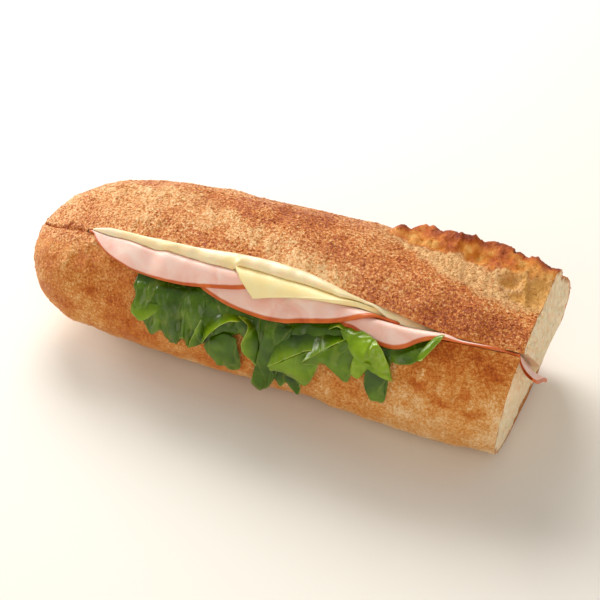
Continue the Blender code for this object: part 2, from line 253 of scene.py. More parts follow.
def torn_bands(x, angle, ragged):
    """How far each place lies in the two bands where the crust tore open, from 0 to 1."""
    first_line = [(-88, 106), (-72, 104), (-60, 102), (-47, 100), (-29, 92), (-13, 83)]
    first_line += [(0, 76), (12, 68), (24, 62), (38, 57)]
    half_widths = [(-88, 3), (-72, 6), (-58, 10), (-40, 10), (-14, 8), (3, 8), (14, 10), (26, 11), (40, 5)]
    lows = [(29, 121), (38, 111), (48, 105), (58, 95), (67, 88), (74, 87), (80, 84), (91, 82)]
    lows += [(100, 80), (106, 80)]
    highs = [(29, 125), (38, 116), (48, 118), (58, 120), (80, 119), (105, 118)]
    off_first = (np.abs(angle - through(first_line, x)) + 6 * ragged) / through(half_widths, x)
    in_first = (1 - ramp(off_first, 0.4, 1.3)) * ramp(x, -92, -78) * (1 - ramp(x, 34, 42))
    low, high = through(lows, x), through(highs, x)
    above_low = ramp(angle + 4 * ragged, low - 3, low + 3)
    below_high = 1 - ramp(angle + 3 * ragged, high - 4, high + 4)
    return in_first, above_low * below_high * ramp(x, 28, 42)


x_along = stations_along()
low_lip = lip_angle(x_along)
open_here = x_along >= SLIT_START_X
high_lip = np.where(open_here, upper_lip_angle(x_along, low_lip), low_lip)
ring_angles = angles_round(x_along, low_lip, high_lip)
station_x = np.repeat(x_along[:, None], ROUND, 1)
towards_cut = ramp(station_x, CUT_X - CUT_ZONE, CUT_X)
lid_share = ramp(-ring_angles, 145, 220)
moved_x = station_x + towards_cut * end_shift(outline(station_x, ring_angles), lid_share)
skin = np.concatenate([moved_x[..., None], outline(moved_x, ring_angles)], -1)
normals = grid_normals(skin)
round_angle = (ring_angles + 180) % 360 - 180


def near_line(points, width):
    """A bell of height 1 along a line of (x, angle) points on the crust, width millimetres to each side."""
    mm_a_degree = 0.55
    here = np.stack([moved_x, round_angle * mm_a_degree], -1)
    nearest = np.full(moved_x.shape, 1e3)
    for a, b in zip(points, points[1:]):
        a, b = np.array(a) * (1, mm_a_degree), np.array(b) * (1, mm_a_degree)
        share = np.clip((here - a) @ (b - a) / ((b - a) @ (b - a)), 0, 1)
        nearest = np.minimum(nearest, np.linalg.norm(here - a - share[..., None] * (b - a), axis=-1))
    return np.exp(-((nearest / width) ** 2))


def spot(x, angle, reach, turn):
    """A patch of the crust with soft edges, reach millimetres along and turn degrees round to each side."""
    return np.exp(-((((moved_x - x) / reach) ** 2 + ((round_angle - angle) / turn) ** 2) ** 2))


ragged = rough(skin, 5, 3, 1)
in_first, in_second = torn_bands(moved_x, round_angle, ragged)
lumps = rough(skin, 16, 2, 2)
fine_lumps = rough(skin, 3.2, 3, 3)
grain = rough(skin, 1.4, 2, 4)
fibres = rough(np.stack([moved_x + round_angle * 0.25, round_angle * 0.14, moved_x * 0.22], -1), 2.2, 3, 5)
fluff = rough(np.stack([moved_x * 0.8, round_angle * 0.5, moved_x * 0.3], -1), 1.7, 2, 12)

# the ear: a thin jagged wall that the second slash tore up along its far side
feet = [(34, 119), (41, 112), (46.5, 112), (58.5, 106), (70.5, 107), (79, 102), (85, 101), (107, 103)]
tops = [(36, 121), (45, 121), (50, 125), (60, 119), (71, 117), (91, 117), (102, 115), (108, 119)]
ear_foot, ear_top = through(feet, moved_x), through(tops, moved_x)
up_ear = (round_angle - ear_foot) / (ear_top - ear_foot)
jags = rough(np.stack([moved_x, moved_x * 0 + 3, round_angle * 0.04], -1), 7, 3, 7)
notches = rough(np.stack([moved_x, moved_x * 0 + 9, round_angle * 0.10], -1), 2.2, 2, 8)
ear_height = np.clip(2.9 + 2.6 * jags + 0.5 * notches, 0.5, 5.0)
ear_height *= ramp(moved_x, 36, 46) * (1 - 0.5 * ramp(moved_x, 98, 110))
flap = np.where(up_ear < 1, np.clip(up_ear, 0, 1) ** 1.9, 1 - ramp(up_ear, 1, 1.5))
bubbled = rough(skin, 2.6, 2, 13)
ear = ramp(up_ear + 0.3 * ragged, -0.12, 0.16) * (1 - ramp(up_ear + 0.4 * ragged, 1.3, 2.2))
ear *= ramp(moved_x, 36, 44)

# hollows under the ear as (x, angle, reach, turn, depth), strands of crust over them, and a crack at the tip
hollows = [(76, 107, 7.5, 3.6, 1.6), (91.5, 96.5, 4.6, 3.6, 2.2), (96, 89, 3, 2.6, 1.2)]
hollows += [(60, 108, 4, 2.4, 1.0), (103.5, 95, 4, 9, 1.7)]
hollow_depth = sum(depth * spot(x, angle, reach, turn) for x, angle, reach, turn, depth in hollows)
strands = near_line([(96, 104), (97.4, 98), (98.2, 94), (100.5, 85)], 0.75)
strands = strands + near_line([(93.6, 103), (97, 101)], 0.7)
strands += 0.7 * near_line([(88, 102), (94, 100.5), (98, 97)], 0.7)
crack = near_line([(-99.5, 68.5), (-94, 66), (-89, 65.5), (-85, 64.5), (-80, 65), (-78, 63)], 0.7)
crack += 0.7 * near_line([(-87, 64), (-85.5, 70)], 0.6)

# folds near the tip, and stretch marks on the front near the cut
left_folds = [[(-84, 106), (-77, 98), (-74, 94)], [(-57, 92), (-54, 84), (-56, 76), (-58, 66)],
              [(-50, 84), (-47, 76), (-48, 68)], [(-53, 76), (-50, 70), (-52, 63)],
              [(-75, 57), (-71, 44), (-69, 30)], [(-70, 53), (-64.5, 47), (-61, 36)],
              [(-79, 56), (-78, 46), (-80, 36)], [(-72, 112), (-62, 104), (-56, 98)]]
folds = sum(near_line(line, 1.7) for line in left_folds) * (0.75 + 0.6 * fine_lumps)
stretch_marks = [(72, 26), (80, 25), (86, 20), (92, 15)]
stretched = sum(near_line([(x, turn + 8), (x + 1.5, turn), (x, turn - 8)], 0.7) for x, turn in stretch_marks)
low_folds = rough(np.stack([moved_x, round_angle * 0.14, moved_x * 0], -1), 3.0, 2, 6)
fold_zone = bump(moved_x, 23, 15) * bump(round_angle, 66, 12)
fold_zone = fold_zone + 0.5 * bump(moved_x, -62, 18) * bump(round_angle, 84, 26)

relief = 0.85 * lumps + 0.40 * rough(skin, 7, 2, 16) + 0.16 * fine_lumps + 0.08 * grain
relief += in_first * (0.45 * fibres + 0.22 * fluff)
relief += in_second * (0.55 * fluff + 0.35 * fibres + 0.25 * grain)
relief += fold_zone * low_folds + 0.8 * np.minimum(folds, 1)
relief += 0.35 * stretched - 1.3 * np.minimum(crack, 1)
relief += ear_height * flap + 0.8 * ear * bubbled - hollow_depth + 0.9 * np.minimum(strands, 1)
near_lip = 1 - np.minimum(ramp(np.arange(ROUND), 0, 6), 1 - ramp(np.arange(ROUND), ROUND - 7, ROUND - 1))
relief *= 1 - 0.8 * near_lip[None, :] * open_here[:, None]
relief *= ramp(skin[..., 2], 0.05, 3)
skin += normals * relief[..., None]

# how the crust browned: 0 pale gold, 1 deep brown, and how speckled it is with pale blisters and painted
# glints
up_the_back = 1 - ramp(round_angle, 145, 180)
lower = 1 - ramp(round_angle, 20, 46) * up_the_back
on_lid = ramp(round_angle, 48, 56) * up_the_back
bake = 0.50 + 0.13 * rough(skin, 22, 3, 9) + 0.10 * rough(skin, 6, 3, 10) - 0.10 * lumps
bake += on_lid * (0.07 * ramp(moved_x, -30, 30) + 0.12 * bump(round_angle, 62, 9) * ramp(moved_x, 40, 66))
bake += 0.16 * spot(-8, 103, 28, 12) - 0.07 * spot(35, 98, 20, 12)
bake -= 0.10 * lower * ramp(moved_x, -30, 70) * (1 - ramp(np.abs(round_angle), 80, 110))
low_front = (1 - ramp(round_angle, -5, 30)) * ramp(round_angle, -170, -120)
bake -= 0.13 * lower * ramp(moved_x, 30, 75) * low_front
bake -= 0.21 * ramp(-round_angle, 8, 40) * (1 - ramp(-round_angle, 100, 150))
bake -= 0.10 * (1 - ramp(moved_x, -100, -60)) * ramp(round_angle, 50, 80) * up_the_back + 0.06 * lower
patches = [(71, 17), (74, 17), (79.5, 10), (83, 8), (93, 4), (97, 8), (92, 41), (101, 33), (97, 37)]
patches += [(-58, 11), (-67, 15)]
bake += 0.22 * sum(spot(x, angle, 2.4, 3.4) for x, angle in patches)
bake -= 0.15 * np.minimum(folds, 1) + 0.15 * stretched
bake -= 0.34 * in_first * ramp(0.5 + 0.6 * fibres + 0.4 * fluff, 0, 0.9) + 0.30 * fold_zone
bake += 0.35 * np.minimum(crack, 1)
near_cut = 1 - 0.6 * lower * ramp(moved_x, 40, 90)
# the specks are partly pale blisters and partly painted glints, strongest on the top and the lid
specks_and_glints = 0.32 + 0.24 * ramp(round_angle, -30, 20) * up_the_back * near_cut + 0.5 * on_lid
specks_and_glints *= (1 - 0.5 * ear) * ramp(skin[..., 2], 1, 4)
wall = 0.34 + 0.34 * rough(skin, 4.5, 3, 14) + 0.36 * bump(up_ear, 1.05, 0.30) + 0.25 * ramp(up_ear, 1, 1.4)
bake = np.clip(bake * (1 - ear) + wall * ear, 0, 1)
torn = np.clip(in_second + 0.25 * in_first + 0.3 * fold_zone, 0, 1) * (1 - ear)
pale = spot(103, 95, 5, 13) + spot(91.5, 96, 4, 3.4) + spot(96, 89, 3, 2.6)
pale = np.clip(pale + 0.8 * np.minimum(strands, 1), 0, 1)

# the inside of the slit: the lid's face, the floor, and the lower face
slit_x = x_along[open_here]
lip_yz = outline(slit_x, low_lip[open_here])
upper_yz = outline(slit_x, high_lip[open_here])
upper_depth = ((upper_yz - lip_yz) @ INWARD)[:, None]
deep = slit_floor(slit_x)[:, None]
gap = slit_gap(slit_x)[:, None]
share = np.arange(1, IN_SLIT + 1) / IN_SLIT
lid_depth = upper_depth + (deep - upper_depth) * share
lid_lift = clearance(slit_x[:, None], np.maximum(0, lid_depth)) + LID_FLARE * np.maximum(0, -lid_depth)
low_depth = deep * share[::-1]
profile_depth = np.concatenate([lid_depth, deep + 0.3 * gap, low_depth], 1)
profile_lift = np.concatenate([lid_lift, 0.4 * gap, np.zeros_like(low_depth)], 1)
profile_yz = lip_yz[:, None] + profile_depth[..., None] * INWARD + profile_lift[..., None] * ACROSS
slip_share = np.concatenate([1 - ramp(lid_depth / deep, 0.4, 1), np.zeros((len(slit_x), IN_SLIT + 1))], 1)
slit_shift = ramp(slit_x, CUT_X - CUT_ZONE, CUT_X)[:, None]
profile_x = slit_x[:, None] + slit_shift * end_shift(profile_yz, slip_share)
slit_faces = np.concatenate([profile_x[..., None], profile_yz], -1)
IN_RING = 2 * IN_SLIT + 1


def cut_face(outer, inner, rows):
    """Places over the cut end, on straight lines from the crust to the slit."""
    def shares(line, turn):
        run = np.concatenate([[0], np.cumsum(np.linalg.norm(np.diff(line, axis=0), axis=1))])
        half = 0.5 * run / run[turn]
        return np.where(run <= run[turn], half, 0.5 + 0.5 * (run - run[turn]) / (run[-1] - run[turn]))

    floor = IN_SLIT + 1
    hinge = int(np.linalg.norm(outer - (inner[floor] + np.array([0, *INWARD]) * 12), axis=1).argmin())
    outer_share, inner_share = shares(outer, hinge), shares(inner, floor)
    facing = np.stack([np.interp(outer_share, inner_share, inner[:, axis]) for axis in range(3)], -1)
    across = (np.arange(1, rows) / rows)[:, None, None]
    return (outer * (1 - across) + facing * across)[:, 1:-1], outer_share, inner_share


def nearest_cell(places, size):
    """How far each place is from the middle of a random cell, in shares of size millimetres."""
    distances = [noise.voronoi(Vector(p) / size)[0][0] for p in places.reshape(-1, 3)]
    return np.array(distances).reshape(places.shape[:2])


CUT_ROWS = 28
outer_rim = skin[-1]
inner_rim = np.concatenate([outer_rim[:1], slit_faces[-1][::-1], outer_rim[-1:]])
cut_places, outer_share, inner_share = cut_face(outer_rim, inner_rim, CUT_ROWS)
from_crust = np.linalg.norm(cut_places - outer_rim[1:-1], axis=-1)
pores = 1.9 * (1 - ramp(nearest_cell(cut_places, 2.6), 0.15, 0.42))
pores += 0.8 * (1 - ramp(nearest_cell(cut_places, 1.3), 0.15, 0.45))
cut_places[..., 0] -= pores * ramp(from_crust, 0.6, 2.2) + 0.25 * rough(cut_places, 6, 2, 11)

outer_count = STATIONS * ROUND
first_open = int(open_here.argmax())
slit_index = outer_count + np.arange(len(slit_x) * IN_RING).reshape(-1, IN_RING)
cut_index = slit_index.max() + 1 + np.arange(cut_places[..., 0].size).reshape(cut_places.shape[:2])
pole = int(cut_index.max() + 1)
outer_index = np.arange(outer_count).reshape(STATIONS, ROUND)
outer_index[:first_open, -1] = outer_index[:first_open, 0]


def strip(a, b):
    """Quads between two rows of vertices that match one to one."""
    return [(int(a[i]), int(a[i + 1]), int(b[i + 1]), int(b[i])) for i in range(len(a) - 1)]


def zipped(a, a_shares, b, b_shares):
    """Triangles between two rows of vertices that have unlike numbers of vertices."""
    made, i, j = [], 0, 0
    while i < len(a) - 1 or j < len(b) - 1:
        step_a = j == len(b) - 1 or (i < len(a) - 1 and a_shares[i + 1] <= b_shares[j + 1])
        made.append((int(a[i]), int(a[i + 1] if step_a else b[j + 1]), int(b[j])))
        i, j = (i + 1, j) if step_a else (i, j + 1)
    return [face for face in made if len(set(face)) == 3]


crust_faces = []
for i in range(STATIONS - 1):
    crust_faces += strip(outer_index[i], outer_index[i + 1])
crust_faces += [(pole, int(outer_index[0, k]), int(outer_index[0, k + 1])) for k in range(ROUND - 1)]


def slit_ring(j):
    """The vertices from the upper lip through the slit to the lower lip."""
    on_skin = outer_index[first_open + j]
    return [int(on_skin[-1]), *slit_index[j].tolist(), int(on_skin[0])]


crumb_faces = []
for i in range(len(slit_x) - 1):
    crumb_faces += strip(slit_ring(i), slit_ring(i + 1))
ring = slit_ring(0)
crumb_faces += [(ring[j], ring[j + 1], ring[-2 - j], ring[-1 - j]) for j in range(IN_SLIT)]
crumb_faces.append(tuple(ring[IN_SLIT:IN_SLIT + 3]))
crumb_faces.append((int(outer_index[first_open - 1, 0]), ring[-1], ring[0]))
end_lips = int(outer_index[-1, 0]), int(outer_index[-1, -1])
cut_rows = [outer_index[-1]] + [np.concatenate([[end_lips[0]], row, [end_lips[1]]]) for row in cut_index]
for a, b in zip(cut_rows, cut_rows[1:]):
    crumb_faces += [face for face in strip(a, b)[1:-1]]
    crumb_faces += [(int(a[0]), int(a[1]), int(b[1])), (int(a[-2]), int(a[-1]), int(b[-2]))]
inner_row = np.concatenate([[end_lips[0]], slit_index[-1][::-1], [end_lips[1]]])
crumb_faces += zipped(cut_rows[-1], outer_share, inner_row, inner_share)

bread_parts = [skin.reshape(-1, 3), slit_faces.reshape(-1, 3), cut_places.reshape(-1, 3), skin[:1].mean(1)]
bread_places = np.concatenate(bread_parts)
others = len(bread_places) - outer_count
bared = 3.2 * ramp(cut_places[..., 1], -18, 0) * (1 - ramp(cut_places[..., 2], 10, 20))
ragged_rim = (1.2 + 0.6 * bared) * rough(cut_places, 4, 3, 15)
rim_and_pore_shade = 1 - ramp(from_crust - bared + ragged_rim, 0.5, 1.9)
# the pores take some crust colour too: painted shade in them
rim_and_pore_shade = np.maximum(rim_and_pore_shade, 0.26 * pores * ramp(from_crust, 0.6, 2.2))
# crust colour just inside the lid's lip: partly the crust curling in, partly painted shade under the lid
lid_rim_and_shade = (1 - ramp(lid_depth, 1, 8)) * ramp(slit_x, 25, 45)[:, None]
in_slit = np.concatenate([0.8 * lid_rim_and_shade, np.zeros((len(slit_x), IN_SLIT + 1))], 1)
on_crumb = np.concatenate([in_slit.reshape(-1), rim_and_pore_shade.reshape(-1), [1]])
bread_marks = {}
for label, on_skin, elsewhere in (
        ("bake", bake, 0.6), ("torn", torn, 0), ("ear", ear, 0), ("pale", pale, 0), ("specks_and_glints", specks_and_glints, 0)):
    bread_marks[label] = np.concatenate([on_skin.reshape(-1), np.full(others, elsewhere)])
bread_marks["crust"] = np.concatenate([np.ones(outer_count), on_crumb])
bread = object_from("bread_loaf", bread_places, crust_faces + crumb_faces, bread_marks,
                    [0] * len(crust_faces) + [1] * len(crumb_faces))
bread.data.set_sharp_from_angle(angle=math.radians(60))


def linear(colour, alpha=1):
    """An sRGB hex colour as the linear values that a shader takes."""
    parts = [int(colour[i:i + 2], 16) / 255 for i in (1, 3, 5)]
    return (*(c / 12.92 if c <= 0.04045 else ((c + 0.055) / 1.055) ** 2.4 for c in parts), alpha)


def add(tree, kind, inputs=None, stops=None, **settings):
    """Adds a node with its settings, its inputs' values or links, and the stops of its colour ramp."""
    node = tree.nodes.new(kind)
    for name, value in settings.items():
        setattr(node, name, value)
    for name, value in (inputs or {}).items():
        if isinstance(value, bpy.types.NodeSocket):
            tree.links.new(value, node.inputs[name])
        else:
            node.inputs[name].default_value = value
    for i, (position, colour) in enumerate(stops or []):
        element = node.color_ramp.elements[i] if i < 2 else node.color_ramp.elements.new(position)
        element.position = position
        element.color = linear(colour)
    return node


def new_material(name):
    """A material with its node tree and its surface shader."""
    made = bpy.data.materials.new(name)
    made.use_nodes = True
    return made, made.node_tree, made.node_tree.nodes["Principled BSDF"]


def finish_surface(tree, shader, colour, relief=None, **values):
    """Gives a surface its colour, its constant values and its fine relief: (height, strength, metres)."""
    tree.links.new(colour, shader.inputs["Base Color"])
    for name, value in values.items():
        shader.inputs[name.replace("_", " ")].default_value = value
    if relief:
        height, strength, distance = relief
        bumped = add(tree, "ShaderNodeBump", {"Strength": strength, "Distance": distance, "Height": height})
        tree.links.new(bumped.outputs["Normal"], shader.inputs["Normal"])


def baked_crust():
    """Baked wheat crust: dry and blistered, brown where it took most heat and pale where it tore.

    It browned in clouds of about 6 mm. Its light specks, partly pale blisters and partly painted glints, are
    1 mm across, as are its blisters.
    """
    made, tree, shader = new_material("baked_crust")
    place = add(tree, "ShaderNodeTexCoord").outputs["Object"]
    marks = {label: add(tree, "ShaderNodeAttribute", attribute_name=label).outputs["Fac"]
             for label in ("bake", "specks_and_glints", "torn", "ear", "pale")}
    cloud = add(tree, "ShaderNodeTexNoise", {
        "Vector": place, "Scale": 170, "Detail": 5, "Roughness": 0.6}).outputs["Fac"]
    speck = add(tree, "ShaderNodeTexNoise", {
        "Vector": place, "Scale": 1000, "Detail": 5, "Roughness": 0.85}).outputs["Fac"]
    blister = add(tree, "ShaderNodeTexVoronoi", {
        "Vector": place, "Scale": 1000}, feature="SMOOTH_F1").outputs["Distance"]
    cloudy = add(tree, "ShaderNodeMath", {0: cloud, 1: -0.5}, operation="ADD").outputs[0]
    shade = add(tree, "ShaderNodeMath", {
        0: cloudy, 1: 0.5, 2: marks["bake"]}, operation="MULTIPLY_ADD").outputs[0]
    fine = add(tree, "ShaderNodeMath", {0: speck, 1: -0.49}, operation="ADD").outputs[0]
    fine = add(tree, "ShaderNodeMath", {0: fine, 1: marks["specks_and_glints"]}, operation="MULTIPLY").outputs[0]
    # light specks: partly pale blisters, partly painted glints; the ramp's palest stop is the glint colour
    specked_and_glinting = add(tree, "ShaderNodeMath", {0: fine, 1: -4.4, 2: shade}, operation="MULTIPLY_ADD").outputs[0]
    brown = add(tree, "ShaderNodeValToRGB", {"Fac": specked_and_glinting}, stops=[
        (0.0, "#FDD8A6"), (1.0, "#8A3806"), (0.22, "#E9A450"), (0.5, "#D0701B"), (0.7, "#BC580F"),
        (0.85, "#A4480A")]).outputs["Color"]
    fibre = add(tree, "ShaderNodeValToRGB", {"Fac": speck}, stops=[
        (0.36, "#C5722A"), (0.58, "#FFD596")]).outputs["Color"]
    caramel = add(tree, "ShaderNodeValToRGB", {"Fac": shade}, stops=[
        (0.0, "#F0BC66"), (1.0, "#541B03"), (0.3, "#DD8828"), (0.55, "#C05C0E"),
        (0.8, "#953A05")]).outputs["Color"]
    mixed = add(tree, "ShaderNodeMix", {0: marks["torn"], 6: brown, 7: fibre}, data_type="RGBA").outputs[2]
    mixed = add(tree, "ShaderNodeMix", {0: marks["ear"], 6: mixed, 7: caramel}, data_type="RGBA").outputs[2]
    mixed = add(tree, "ShaderNodeMix", {
        0: marks["pale"], 6: mixed, 7: linear("#E6AC5A")}, data_type="RGBA").outputs[2]
    blistered = add(tree, "ShaderNodeMath", {
        0: blister, 1: 0.7, 2: speck}, operation="MULTIPLY_ADD").outputs[0]
    finish_surface(tree, shader, mixed, (blistered, 0.9, 0.0007), Roughness=0.42, Specular_IOR_Level=0.3)
    return made


def white_crumb():
    """Wheat crumb: soft, off-white and open-pored, with the brown crust as a thin line round its edge.

    Its shade changes in lumps of 2 mm. The crust's brown is also painted shade in its pores and just inside
    the lid's lip.
    """
    made, tree, shader = new_material("white_crumb")
    place = add(tree, "ShaderNodeTexCoord").outputs["Object"]
    cloud = add(tree, "ShaderNodeTexNoise", {"Vector": place, "Scale": 500, "Detail": 4}).outputs["Fac"]
    crumb = add(tree, "ShaderNodeValToRGB", {"Fac": cloud}, stops=[
        (0.3, "#F7D5A6"), (0.7, "#FFF1D3")]).outputs["Color"]
    crust = add(tree, "ShaderNodeAttribute", attribute_name="crust").outputs["Fac"]
    mixed = add(tree, "ShaderNodeMix", {
        0: crust, 6: crumb, 7: linear("#B9732F")}, data_type="RGBA").outputs[2]
    finish_surface(tree, shader, mixed, (cloud, 0.5, 0.0005), Roughness=0.85,
                   Subsurface_Weight=0.25, Subsurface_Scale=0.002)
    return made


crust_material = baked_crust()
crumb_material = white_crumb()
bread.data.materials.append(crust_material)
bread.data.materials.append(crumb_material)
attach(bread, "root")
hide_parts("bread")


# ---------------------------------------------------------------- the blisters and the shreds
# Small blisters of crust all over the baked skin, and shreds that stand up where the slashes tore it. They
# are closed grains of 20 faces, scattered by geometry nodes where the loaf's own attributes say so.


def scattered(name, host, label, per_cm2, lengths, slender, seed):
    """Grains on host, most where its attribute says so. lengths are in millimetres, slender their shape."""
    tree = bpy.data.node_groups.new(name, "GeometryNodeTree")
    face = tree.interface
    face.new_socket("Surface", in_out="INPUT", socket_type="NodeSocketGeometry")
    sizes = {"Grains per square metre": per_cm2 * 1e4, "Shortest": lengths[0], "Longest": lengths[1]}
    sockets = [face.new_socket(size, in_out="INPUT", socket_type="NodeSocketFloat") for size in sizes]
    face.new_socket("Grains", in_out="OUTPUT", socket_type="NodeSocketGeometry")
    surface, most, shortest, longest = add(tree, "NodeGroupInput").outputs[:4]
    share = add(tree, "GeometryNodeInputNamedAttribute", {"Name": label}, data_type="FLOAT").outputs[0]
    density = add(tree, "ShaderNodeMath", {0: share, 1: most}, operation="MULTIPLY").outputs[0]
    points = add(tree, "GeometryNodeDistributePointsOnFaces", {
        "Mesh": surface, "Density": density, "Seed": seed})
    lean, round_turn = 0.25, 3.14
    turn = add(tree, "FunctionNodeRandomValue", {
        0: (-lean, -lean, -round_turn), 1: (lean, lean, round_turn), "Seed": seed + 1},
        data_type="FLOAT_VECTOR").outputs[0]
    turned = add(tree, "FunctionNodeRotateRotation", {
        0: points.outputs["Rotation"], 1: turn}, rotation_space="LOCAL").outputs[0]
    length = add(tree, "FunctionNodeRandomValue", {
        2: shortest, 3: longest, "Seed": seed + 2}, data_type="FLOAT").outputs[1]
    size = add(tree, "ShaderNodeVectorMath", {0: slender, 3: length}, operation="SCALE").outputs[0]
    grain = add(tree, "GeometryNodeMeshIcoSphere", {"Radius": 0.5 * MM, "Subdivisions": 1}).outputs["Mesh"]
    grains = add(tree, "GeometryNodeInstanceOnPoints", {
        "Points": points.outputs["Points"], "Instance": grain, "Rotation": turned, "Scale": size}).outputs[0]
    whole = add(tree, "GeometryNodeRealizeInstances", {0: grains}).outputs[0]
    painted = add(tree, "GeometryNodeSetMaterial", {"Geometry": whole, "Material": crust_material}).outputs[0]
    tree.links.new(painted, add(tree, "NodeGroupOutput").inputs[0])
    piece = bpy.data.objects.new(name, host.data.copy())
    bpy.context.scene.collection.objects.link(piece)
    growing = piece.modifiers.new(name, "NODES")
    growing.node_group = tree
    for socket, value in zip(sockets, sizes.values()):
        growing[socket.identifier] = value
    made = bpy.data.meshes.new_from_object(piece.evaluated_get(bpy.context.evaluated_depsgraph_get()))
    piece.modifiers.clear()
    piece.data = made
    made.shade_smooth()
    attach(piece, "root")


scattered("crust_blisters", bread, "specks_and_glints", 22.0, (0.5, 1.3), (1, 0.85, 0.4), 1)
scattered("torn_shreds", bread, "torn", 70.0, (0.8, 2.2), (1, 0.3, 0.3), 2)

# ---------------------------------------------------------------- the ham
# Three round slices of cooked ham, 1.2 mm thick, with an orange-brown smoked rim. They lie one half over the
# next on the lettuce, run into the slit and hang out over its lip. Each is a closed sheet over a grid of
# (x, depth): x runs along the loaf, and depth goes from the lower lip into the slit, or out of it below 0.

GAP = 0.3  # between neighbouring layers
LETTUCE_THICK = 0.8
HAM_THICK = 1.2
CHEESE_THICK = 1.9
LAYER = HAM_THICK + GAP
ON_CRUMB = GAP
ON_LETTUCE = 2 * GAP + LETTUCE_THICK
HAM_REACH = 52  # how deep the middle of a slice reaches into the slit


def down_front(x, distance):
    """A place this far below the lower lip: on the crust, then straight down from the widest level."""
    on_crust = math.pi / 4 * HALF_WIDTH
    share = np.clip(distance / on_crust, 0, 1)
    places = outline(x, lip_angle(x) * (1 - share))
    places[..., 1] -= np.maximum(0, distance - on_crust)
    return places


def carrier(x, depth, lift):
    """Places lifted this far off the lower half: in the slit, round its lip or down its front."""
    distance = np.maximum(0, -depth - LIP_BEND)
    base = down_front(x, distance)
    slope = down_front(x, distance + 1) - base
    base = base + np.maximum(0, depth - LIP_BEND)[..., None] * INWARD
    level = math.atan2(ACROSS[1], ACROSS[0])
    front = np.mod(np.arctan2(-slope[..., 0], slope[..., 1]), 2 * math.pi)
    turn = np.clip((LIP_BEND - depth) / (2 * LIP_BEND), 0, 1)
    facing = level + (front - level) * turn
    normal = np.stack([np.cos(facing), np.sin(facing)], -1)
    return np.concatenate([x[..., None], base + lift[..., None] * normal], -1)


def slab(x, depth, middle, half, marks=None):
    """A closed shell over a grid of (x, depth). Its two sides meet all along the border of the grid."""
    top, bottom = carrier(x, depth, middle + half), carrier(x, depth, middle - half)
    rows, columns = x.shape
    high = np.arange(rows * columns).reshape(rows, columns)
    low = high.copy()
    low[1:-1, 1:-1] += rows * columns
    faces = []
    for i in range(rows - 1):
        faces += strip(high[i], high[i + 1]) + strip(low[i + 1], low[i])
    places = np.concatenate([top.reshape(-1, 3), bottom.reshape(-1, 3)])
    corners = np.moveaxis(places[np.array(faces)], 1, 0)
    volume = (corners[0] * (np.cross(corners[1], corners[2]) + np.cross(corners[2], corners[3]))).sum()
    faces = faces if volume > 0 else [face[::-1] for face in faces]
    used = np.unique(np.array(faces))
    renumber = np.zeros(len(places), int)
    renumber[used] = np.arange(len(used))
    both_sides = {label: np.tile(values.reshape(-1), 2)[used] for label, values in (marks or {}).items()}
    return places[used], renumber[np.array(faces)], both_sides


def object_from_shells(name, shells):
    """One object from one or more closed shells."""
    places, faces, count = [], [], 0
    for shell_places, shell_faces, _ in shells:
        places.append(shell_places)
        faces += (shell_faces + count).tolist()
        count += len(shell_places)
    marks = {label: np.concatenate([shell[2][label] for shell in shells]) for label in shells[0][2]}
    return object_from(name, np.concatenate(places), faces, marks, turned=True)


def crowded(start, end, count, crowding=0.55):
    """Steps that grow closer towards both ends."""
    even = np.linspace(0, 1, count)
    return start + (end - start) * ((1 - crowding) * even + crowding * (1 - np.cos(math.pi * even)) / 2)


def ham(name, left, right, left_side, right_side, hang, under):
    """A round slice of ham. hang is how its front edge runs, and left_side is the depth of its left end."""
    blunt = 0.6
    across = crowded(left, right, 200)
    side = left_side + (right_side - left_side) * (across - left) / (right - left)
    front = through([(left, left_side - blunt), *hang, (right, right_side - blunt)], across)
    off_middle = np.minimum(1, np.abs(2 * (across - left) / (right - left) - 1))
    back = side + blunt + (HAM_REACH - side) * np.sqrt(1 - off_middle ** 2)
    share = np.linspace(0, 1, 80) ** 1.7
    depth = front[:, None] + (back - front)[:, None] * share
    x = np.repeat(across[:, None], len(share), 1)
    slant = np.hypot(1, np.gradient(front, across))[:, None]
    from_rim = np.minimum((depth - front[:, None]) / slant, back[:, None] - depth)
    from_rim = np.minimum(from_rim, np.minimum(x - left, right - x) * 1.5)
    thick = HAM_THICK / 2 * np.sqrt(1 - (1 - np.clip(from_rim / 0.7, 0, 1)) ** 2)
    middle = under(x, depth) + HAM_THICK / 2
    hanging = ramp(-depth, -1, 8)
    middle = middle + hanging * 0.25 * rough(np.stack([x, depth, depth * 0], -1), 14, 2, 20)
    rim = 0.7 + 1.0 * ramp(x, -60, 10) + 0.15 * rough(np.stack([x, depth, depth * 0], -1), 5, 2, 21)
    rind = 1 - ramp(from_rim, rim - 0.25, rim + 0.25)
    return object_from_shells(name, [slab(x, depth, middle, thick, {"rind": rind})])


def left_under(x, depth):
    """How high the left slice lies: on the crumb, then the lettuce, then the middle slice."""
    return ON_CRUMB + (ON_LETTUCE - ON_CRUMB) * ramp(x, -66, -50) + LAYER * ramp(x, -43, -35)


def middle_under(x, depth):
    """How high the middle slice lies: on the lettuce, then the right slice."""
    return ON_LETTUCE + LAYER * ramp(x, 14, 20)


def right_under(x, depth):
    """How high the right slice lies: on the lettuce, then the crumb. It droops past the cut end."""
    rests = ON_LETTUCE - (ON_LETTUCE - 0.05) * ramp(x, 77, 85)
    droop = 1 - np.exp(-np.maximum(0, x - 105.3) / 3.6)
    return rests - droop * (8.2 - 3.4 * ramp(depth, 4, 18))


